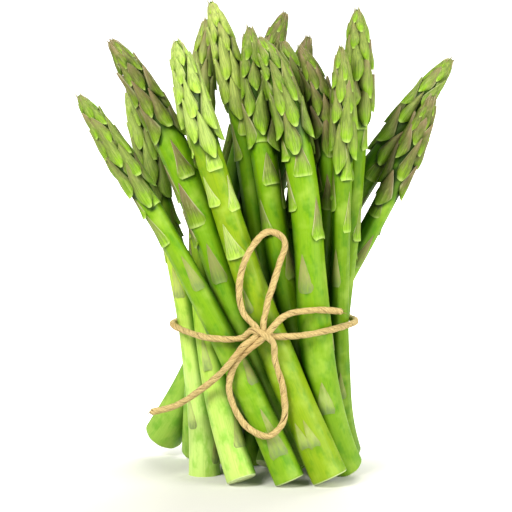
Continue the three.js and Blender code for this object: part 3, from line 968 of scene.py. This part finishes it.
# Fine noise over a vector, which is first stretched by the factors
def noise(tree, vector, factors, scale, detail, roughness):
    stretched = addNode(tree, "ShaderNodeVectorMath", operation="MULTIPLY")
    tree.links.new(vector, stretched.inputs[0])
    stretched.inputs[1].default_value = factors
    node = addNode(tree, "ShaderNodeTexNoise")
    tree.links.new(stretched.outputs[0], node.inputs["Vector"])
    for label, value in (("Scale", scale), ("Detail", detail), ("Roughness", roughness)):
        node.inputs[label].default_value = value
    return node.outputs["Fac"]


def attribute(tree, name, output):
    return addNode(tree, "ShaderNodeAttribute", attribute_name=name).outputs[output]


# Blends a colour in by the product of a ramp over each value and an amount, as the layer says
def blend(tree, layer, first, second, *values):
    amount, *ends = layer
    mask = amount
    for value, (low, high) in zip(values, ends):
        mask = maths(tree, "MULTIPLY", ramp(tree, value, low, high), mask)
    return mixColour(tree, first, second, mask)


def newMaterial(name, sockets):
    material = bpy.data.materials.new(name)
    material.use_nodes = True
    shader = material.node_tree.nodes["Principled BSDF"]
    for label, value in sockets.items():
        setSocket(material.node_tree, shader.inputs[label], value)
    return material, material.node_tree, shader


def addBump(tree, shader, height, strength, distance):
    bump = addNode(tree, "ShaderNodeBump")
    bump.inputs["Strength"].default_value = strength
    bump.inputs["Distance"].default_value = distance
    tree.links.new(height, bump.inputs["Height"])
    tree.links.new(bump.outputs["Normal"], shader.inputs["Normal"])


def newGroup(name, inputs, outputs):
    group = bpy.data.node_groups.new(name, "ShaderNodeTree")
    for label, kind in inputs:
        group.interface.new_socket(label, in_out="INPUT", socket_type="NodeSocket" + kind)
    for label, kind in outputs:
        group.interface.new_socket(label, in_out="OUTPUT", socket_type="NodeSocket" + kind)
    return group, addNode(group, "NodeGroupInput").outputs, addNode(group, "NodeGroupOutput").inputs


skin = {
    "paleBelow": 95.0, "paleFoot": (0.56, 0.76, 0.20), "deep": (0.40, 0.70, 0.2),
    "light": (0.44, 0.62, 0.09), "half": 0.5, "shady": (0.14, 0.27, 0.06),
    "core": (0.08, 0.17, 0.01), "coreShare": 0.8,
    "cut": (0.72, 0.80, 0.42), "pith": (0.52, 0.66, 0.26), "rim": (0.72, 0.82, 0.45),
    "brownDark": (0.15, 0.09, 0.045), "brownPale": (0.36, 0.27, 0.16), "raggedEnds": 0.7,
    "fair": (0.46, 0.60, 0.14), "dull": (0.42, 0.5, 0.42), "margin": (0.58, 0.60, 0.32),
    "lipHighlight": (0.62, 0.78, 0.25), "patch": (0.40, 0.49, 0.15), "patchBrown": (0.30, 0.21, 0.10),
    "patchFoot": (0.16, 0.22, 0.09), "worn": (0.4, 0.7), "bareShare": 0.35, "bareLeast": 0.2,
    "isScale": (2.2, 2.8), "scaleShade": (0.27, 0.34, 0.14), "underScaleShade": (0.17, 0.24, 0.02),
    "rough": 0.3, "roughFreckles": 0.25, "roughScale": 0.12, "bumpFreckles": 0.3,
    "bump": (0.25, 0.0004),
    "sockets": {
        "Subsurface Weight": 0.08, "Subsurface Radius": (0.5, 1.0, 0.15), "Subsurface Scale": 0.0015,
        "Specular IOR Level": 0.22},
}
# Each noise is given by its stretch, scale, detail and roughness.
skinNoise = {
    "fibres": ((1.0, 1.0, 0.03), 2.2, 4.0, 0.6), "blotches": ((1.0, 1.0, 1.0), 0.10, 3.0, 0.55),
    "clouds": ((1.0, 1.0, 0.5), 0.22, 3.0, 0.6), "mottle": ((1.0, 1.0, 0.3), 0.8, 3.0, 0.6),
    "freckles": ((1.0, 1.0, 1.0), 1.1, 2.0, 0.6),
}
# Each layer is given by its amount, and the ends of the ramp over each of its values.
skinLayers = {
    "streaks": (0.35, (0.42, 0.72)), "clouds": (0.7, (0.47, 0.68)), "blotches": (0.7, (0.45, 0.7)),
    "pith": (1.0, (0.45, 0.62)), "cut": (1.0, (1.0, 1.9)), "rim": (0.7, (0.2, 0.9)),
    "leaf": (1.0, (0.05, 0.45)), "fair": (0.6, (0.5, 0.68)), "dull": (0.75, (0.4, 0.66)),
    "tipBrown": (0.85, (0.35, 1.0), (0.05, 0.7)),
    "sideBrown": (0.7, (0.4, 0.95), (0.1, 0.5), (0.1, 0.8)),
    "margin": (0.55, (0.82, 0.97), (0.1, 0.35)), "lipHighlight": (0.4, (0.1, 0.0)),
    "patchBrown": (1.0, (0.2, 0.9)), "patchFoot": (0.85, (0.4, 0.0)), "patchTip": (0.6, (0.5, 1.0)),
    "patchEdge": (0.4, (0.7, 1.0)), "flat": (1.0, (3.2, 3.9)),
}
finishes = {
    "fresh": {
        "stemTint": (0.19, 0.37, 0.003), "lipTint": (0.25, 0.46, 0.015), "leafTint": (0.215, 0.30, 0.05),
        "footPale": 0.03, "brown": 0.35},
    "deep": {
        "stemTint": (0.155, 0.30, 0.003), "lipTint": (0.27, 0.49, 0.02), "leafTint": (0.24, 0.32, 0.055),
        "footPale": 0.03, "brown": 0.35},
    "light": {
        "stemTint": (0.20, 0.41, 0.004), "lipTint": (0.42, 0.63, 0.06), "leafTint": (0.47, 0.56, 0.14),
        "footPale": 0.12, "brown": 0.15},
    "pale": {
        "stemTint": (0.24, 0.37, 0.004), "lipTint": (0.40, 0.63, 0.06), "leafTint": (0.42, 0.55, 0.13),
        "footPale": 0.02, "brown": -0.05},
    "faded": {
        "stemTint": (0.36, 0.56, 0.025), "lipTint": (0.34, 0.52, 0.04), "leafTint": (0.34, 0.39, 0.12),
        "footPale": 0.8, "brown": 0.4},
    "straw": {
        "stemTint": (0.46, 0.63, 0.05), "lipTint": (0.40, 0.62, 0.06), "leafTint": (0.37, 0.48, 0.11),
        "footPale": 1.8, "brown": 0.2},
    "brown": {
        "stemTint": (0.18, 0.37, 0.003), "lipTint": (0.21, 0.36, 0.015), "leafTint": (0.15, 0.18, 0.032),
        "footPale": 0.3, "brown": 0.6},
}


def makeSkinGroup():
    group, given, out = newGroup(
        "growingSkin",
        [
            ("Grown", "Vector"), ("Leaf", "Vector"), ("Part", "Float"), ("Paintedshade", "Float"),
            ("Sunk", "Float"), ("Foot Pale", "Float"), ("Stem Tint", "Color"), ("Lip Tint", "Color"),
            ("Leaf Tint", "Color"),
        ],
        [("Colour", "Color"), ("Roughness", "Float"), ("Height", "Float")],
    )

    def times(value, share):
        return maths(group, "MULTIPLY", value, share)

    def plus(value, more):
        return maths(group, "ADD", value, more)

    def layer(name, first, second, *values):
        return blend(group, skinLayers[name], first, second, *values)

    def tinted(colour, name, share):
        return mixColour(group, colour, mixColour(group, colour, skin[name], 1.0, "MULTIPLY"), share)

    grown, part = given["Grown"], given["Part"]
    apart = addNode(group, "ShaderNodeSeparateXYZ")
    group.links.new(grown, apart.inputs[0])
    height = apart.outputs[2]
    split = addNode(group, "ShaderNodeSeparateXYZ")
    group.links.new(given["Leaf"], split.inputs[0])
    across, along, tone = split.outputs
    fibres, blotches, clouds, mottle, freckles = [
        noise(group, grown, *values) for values in skinNoise.values()
    ]

    # The stem and its cut
    below = ramp(group, height, skin["paleBelow"], 0.0)
    pale = maths(group, "MULTIPLY", below, given["Foot Pale"], clamp=True)
    colour = mixColour(group, given["Stem Tint"], skin["paleFoot"], pale)
    deep = mixColour(group, colour, skin["deep"], 1.0, "MULTIPLY")
    colour = layer("streaks", colour, deep, fibres)
    colour = layer("clouds", colour, deep, clouds)
    light = mixColour(group, colour, skin["light"], skin["half"])
    bare = layer("blotches", colour, light, blotches)
    # Painted shade: the stem skin is darkened where the other spears hide it
    colour = tinted(bare, "shady", given["Paintedshade"])
    # Painted shade: the stem's core inside the head, seen between the scales, is painted dark green
    core = mixColour(group, colour, skin["core"], times(tone, skin["coreShare"]))
    cut = layer("pith", skin["cut"], skin["pith"], freckles)
    core = layer("cut", core, cut, part)
    core = layer("rim", core, skin["rim"], part)

    # The raised scales, brown and ragged towards their tips and sides
    edge = maths(group, "ABSOLUTE", across)
    brown = mixColour(group, skin["brownDark"], skin["brownPale"], fibres)
    ragged = plus(along, times(maths(group, "SUBTRACT", mottle, 0.5), skin["raggedEnds"]))
    scale = layer("leaf", given["Lip Tint"], given["Leaf Tint"], ragged)
    fair = mixColour(group, scale, skin["fair"], skin["half"])
    scale = layer("fair", scale, fair, mottle)
    scale = layer("dull", scale, mixColour(group, scale, skin["dull"], 1.0, "MULTIPLY"), fibres)
    scale = layer("tipBrown", scale, brown, ragged, tone)
    scale = layer("sideBrown", scale, brown, edge, along, tone)
    scale = layer("margin", scale, skin["margin"], edge, along)
    # Painted highlight: the lower edge of each raised scale is lighter
    scale = layer("lipHighlight", scale, skin["lipHighlight"], along)

    # The flat dry ones
    patch = layer("patchBrown", skin["patch"], skin["patchBrown"], tone)
    patch = layer("patchFoot", patch, skin["patchFoot"], ragged)
    patch = layer("patchTip", patch, brown, ragged)
    patch = layer("patchEdge", patch, brown, edge)
    worn = times(ramp(group, mottle, *skin["worn"]), skin["bareShare"])
    patch = mixColour(group, patch, bare, plus(worn, skin["bareLeast"]))
    scale = layer("flat", scale, patch, part)
    # Painted shade: the scales are darkened where the other spears hide them
    scale = tinted(scale, "scaleShade", given["Paintedshade"])
    isScale = ramp(group, part, *skin["isScale"])
    # Painted shade: skin lying under the scales round it is darkened
    colour = tinted(mixColour(group, core, scale, isScale), "underScaleShade", given["Sunk"])

    rough = plus(times(freckles, skin["roughFreckles"]), skin["rough"])
    rough = plus(rough, times(isScale, skin["roughScale"]))
    raised = plus(fibres, times(freckles, skin["bumpFreckles"]))
    for label, value in (("Colour", colour), ("Roughness", rough), ("Height", raised)):
        group.links.new(value, out[label])
    return group


def makeSpearFinish(name, values, group):
    material, tree, shader = newMaterial(name + "Spear", skin["sockets"])
    grower = addNode(tree, "ShaderNodeGroup", node_tree=group)
    for key in ("grown", "leaf", "part", "paintedShade", "sunk"):
        output = "Vector" if key in ("grown", "leaf") else "Fac"
        tree.links.new(attribute(tree, key, output), grower.inputs[key.title()])
    grower.inputs["Foot Pale"].default_value = values["footPale"]
    for label, key in (("Stem Tint", "stemTint"), ("Lip Tint", "lipTint"), ("Leaf Tint", "leafTint")):
        grower.inputs[label].default_value = (*values[key], 1)
    addBump(tree, shader, grower.outputs["Height"], *skin["bump"])
    tree.links.new(grower.outputs["Colour"], shader.inputs["Base Color"])
    tree.links.new(grower.outputs["Roughness"], shader.inputs["Roughness"])
    return material


fibre = {
    "dark": (0.34, 0.24, 0.08), "fair": (0.68, 0.52, 0.23), "spun": ((0.22, 2.2, 2.2), 2.4, 5.0, 0.7),
    "spunLayer": (1.0, (0.38, 0.62)),
    "reddish": (0.46, 0.27, 0.09), "patches": ((1.0, 1.0, 1.0), 70.0, 2.0, 0.5),
    "patchLayer": (0.5, (0.5, 0.8)), "grooveShade": (0.13, 0.07, 0.02), "grooveShadeLayer": (0.9, (0.35, 1.0)),
    "bump": (0.5, 0.0003), "sockets": {"Roughness": 0.75, "Specular IOR Level": 0.3},
}


def makeTwineFinish():
    material, tree, shader = newMaterial("twineFibre", fibre["sockets"])
    place = addNode(tree, "ShaderNodeTexCoord").outputs["Object"]
    spun = noise(tree, attribute(tree, "laid", "Vector"), *fibre["spun"])
    colour = blend(tree, fibre["spunLayer"], fibre["dark"], fibre["fair"], spun)
    patches = noise(tree, place, *fibre["patches"])
    colour = blend(tree, fibre["patchLayer"], colour, fibre["reddish"], patches)
    # Painted shade in the grooves between the strands and at the ends
    groove = attribute(tree, "groove", "Fac")
    colour = blend(tree, fibre["grooveShadeLayer"], colour, fibre["grooveShade"], groove)
    addBump(tree, shader, spun, *fibre["bump"])
    tree.links.new(colour, shader.inputs["Base Color"])
    return material


# The scene

addCamera()
addLights()
addFloor()
layOut()
makeTwine(makeTwineFinish())

skinGroup = makeSkinGroup()
spearFinishes = {name: makeSpearFinish(name, values, skinGroup) for name, values in finishes.items()}
sheets = {"head": makeSheet(headScale), "stem": makeSheet(stemScale)}
shares = np.linspace(0, 1, bundle["samples"])
lines = {name: (pointOf(spear, shares), radiusOf(spear, shares)) for name, spear in spears.items()}
twineLine = routeOf(twine["route"], twine["coarse"])
for name, spear in spears.items():
    others = [line for other, line in lines.items() if other != name]
    others.append((twineLine, np.full(len(twineLine), twine["radius"])))
    piece = makeSpear(name, spear, others, sheets, spearFinishes[spear["finish"]])
    print(name, "grown,", len(piece.data.polygons), "faces")
